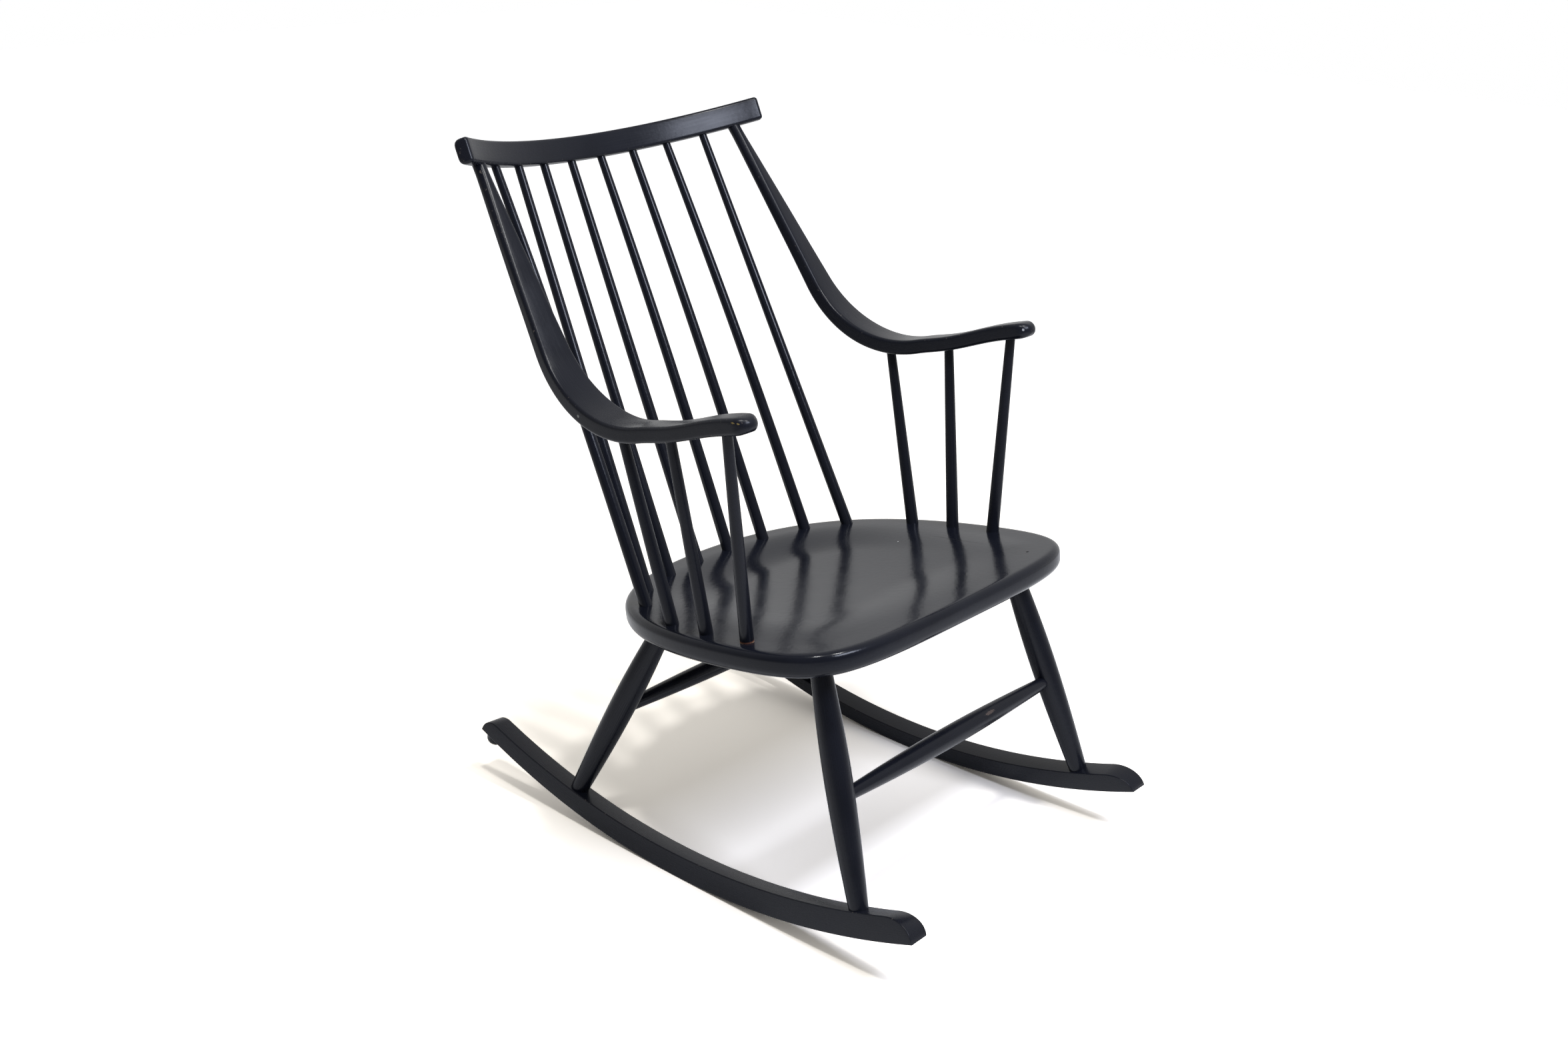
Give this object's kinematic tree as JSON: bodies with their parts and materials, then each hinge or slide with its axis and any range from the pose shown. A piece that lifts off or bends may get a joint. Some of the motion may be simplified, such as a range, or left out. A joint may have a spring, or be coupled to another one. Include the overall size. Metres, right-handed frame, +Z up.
{
  "type": "rocking chair",
  "caption": "Wooden spindle-back rocking chair with a D-shaped seat, bent arms, splayed turned legs and curved rockers, painted satin black.",
  "frame": {"origin": "on the floor, under the middle of the chair's box as it stands at rest", "axes": "+Z up, +Y to the chair's back, +X to the sitter's left; the chair faces -Y"},
  "size_m": [0.607, 0.8588, 0.9246],
  "materials": {
    "black_paint": "satin black paint over wood, lightly worn"
  },
  "bodies": {
    "root": {"seat": "black_paint", "crest_rail": "black_paint", "back_spindle_1": "black_paint", "back_spindle_2": "black_paint", "back_spindle_3": "black_paint", "back_spindle_4": "black_paint", "back_spindle_5": "black_paint", "back_spindle_6": "black_paint", "back_spindle_7": "black_paint", "back_spindle_8": "black_paint", "left_arm": "black_paint", "left_arm_spindle_front": "black_paint", "left_arm_spindle_middle": "black_paint", "left_arm_spindle_rear": "black_paint", "left_front_leg": "black_paint", "left_rear_leg": "black_paint", "left_rocker": "black_paint", "left_rocker_stop": "black_paint", "right_arm": "black_paint", "right_arm_spindle_front": "black_paint", "right_arm_spindle_middle": "black_paint", "right_arm_spindle_rear": "black_paint", "right_front_leg": "black_paint", "right_rear_leg": "black_paint", "right_rocker": "black_paint", "right_rocker_stop": "black_paint", "front_stretcher": "black_paint", "rear_stretcher": "black_paint"}
  },
  "joints": []
}
